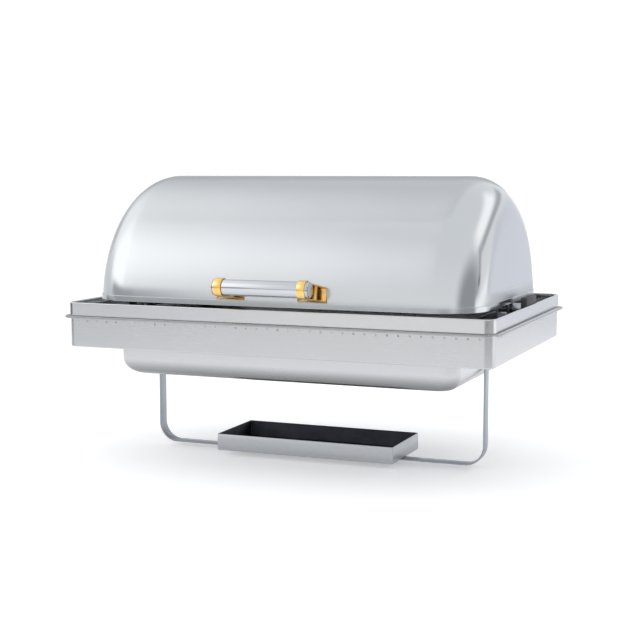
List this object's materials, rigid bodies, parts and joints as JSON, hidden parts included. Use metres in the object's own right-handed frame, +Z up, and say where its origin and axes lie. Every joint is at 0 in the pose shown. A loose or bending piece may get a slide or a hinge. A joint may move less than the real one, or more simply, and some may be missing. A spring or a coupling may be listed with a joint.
{
  "type": "drop-in roll-top chafing dish",
  "caption": "Rectangular drop-in food warmer: flanged frame, water and food pans, roll-top cover with a tube handle, and a strap that carries an open fuel tray.",
  "frame": {"origin": "centre of the unit in plan, in the plane of the counter top that the flange rests on", "axes": "+X along the length to the right of the person serving, +Y to the back where the cover rolls away, +Z up"},
  "size_m": [0.641, 0.4303, 0.4125],
  "materials": {
    "satin_steel": "satin pressed stainless steel",
    "bright_steel": "polished stainless steel with fine wiping marks",
    "plain_steel": "plain cold-rolled stainless strap and plate",
    "tray_steel": "plain stainless sheet, darkened inside by use",
    "fastener_steel": "plain stainless fasteners",
    "brass": "polished brass plate",
    "black_enamel": "black stoved enamel",
    "black_rubber": "black rubber",
    "dark_block": "dark grey moulded polymer",
    "nylon": "natural nylon"
  },
  "bodies": {
    "housing": {"rim_frame": "satin_steel", "skirt": "satin_steel", "water_pan": "satin_steel", "well_deck": "black_enamel", "pan_collar": "plain_steel", "carrier_strap": "plain_steel", "fuel_tray": "tray_steel", "pivot_pin_left": "bright_steel", "collar_lug_left": "plain_steel", "pivot_block_left": "dark_block", "outer_spacer_left": "plain_steel", "inner_spacer_left": "plain_steel", "block_nut_left_1": "fastener_steel", "block_nut_left_2": "fastener_steel", "strap_screw_left": "fastener_steel", "strap_nut_left": "fastener_steel", "tray_screw_left": "fastener_steel", "tray_nut_left": "fastener_steel", "closed_bumper_left": "black_rubber", "open_bumper_left": "black_rubber", "pivot_pin_right": "bright_steel", "collar_lug_right": "plain_steel", "pivot_block_right": "dark_block", "outer_spacer_right": "plain_steel", "inner_spacer_right": "plain_steel", "block_nut_right_1": "fastener_steel", "block_nut_right_2": "fastener_steel", "strap_screw_right": "fastener_steel", "strap_nut_right": "fastener_steel", "tray_screw_right": "fastener_steel", "tray_nut_right": "fastener_steel", "closed_bumper_right": "black_rubber", "open_bumper_right": "black_rubber"},
    "cover": {"cover_shell": "bright_steel", "cover_hem": "bright_steel", "handle_tube": "bright_steel", "cover_ear_left": "plain_steel", "pivot_bush_left": "nylon", "handle_bracket_left": "brass", "handle_plug_left": "bright_steel", "handle_washer_left": "fastener_steel", "handle_screw_left": "fastener_steel", "handle_nut_left": "fastener_steel", "cover_ear_right": "plain_steel", "pivot_bush_right": "nylon", "handle_bracket_right": "brass", "handle_plug_right": "bright_steel", "handle_washer_right": "fastener_steel", "handle_screw_right": "fastener_steel", "handle_nut_right": "fastener_steel"},
    "food_pan": {"food_pan": "bright_steel"}
  },
  "joints": [
    {"name": "cover_roll", "type": "hinge", "parent": "housing", "child": "cover", "pos_m": [0, 0, 0.0175], "axis": [-1, 0, 0], "range_deg": [0, 90]},
    {"name": "food_pan_lift", "type": "slide", "parent": "housing", "child": "food_pan", "axis": [0, 0, 1], "range_m": [0, 0.075]}
  ]
}
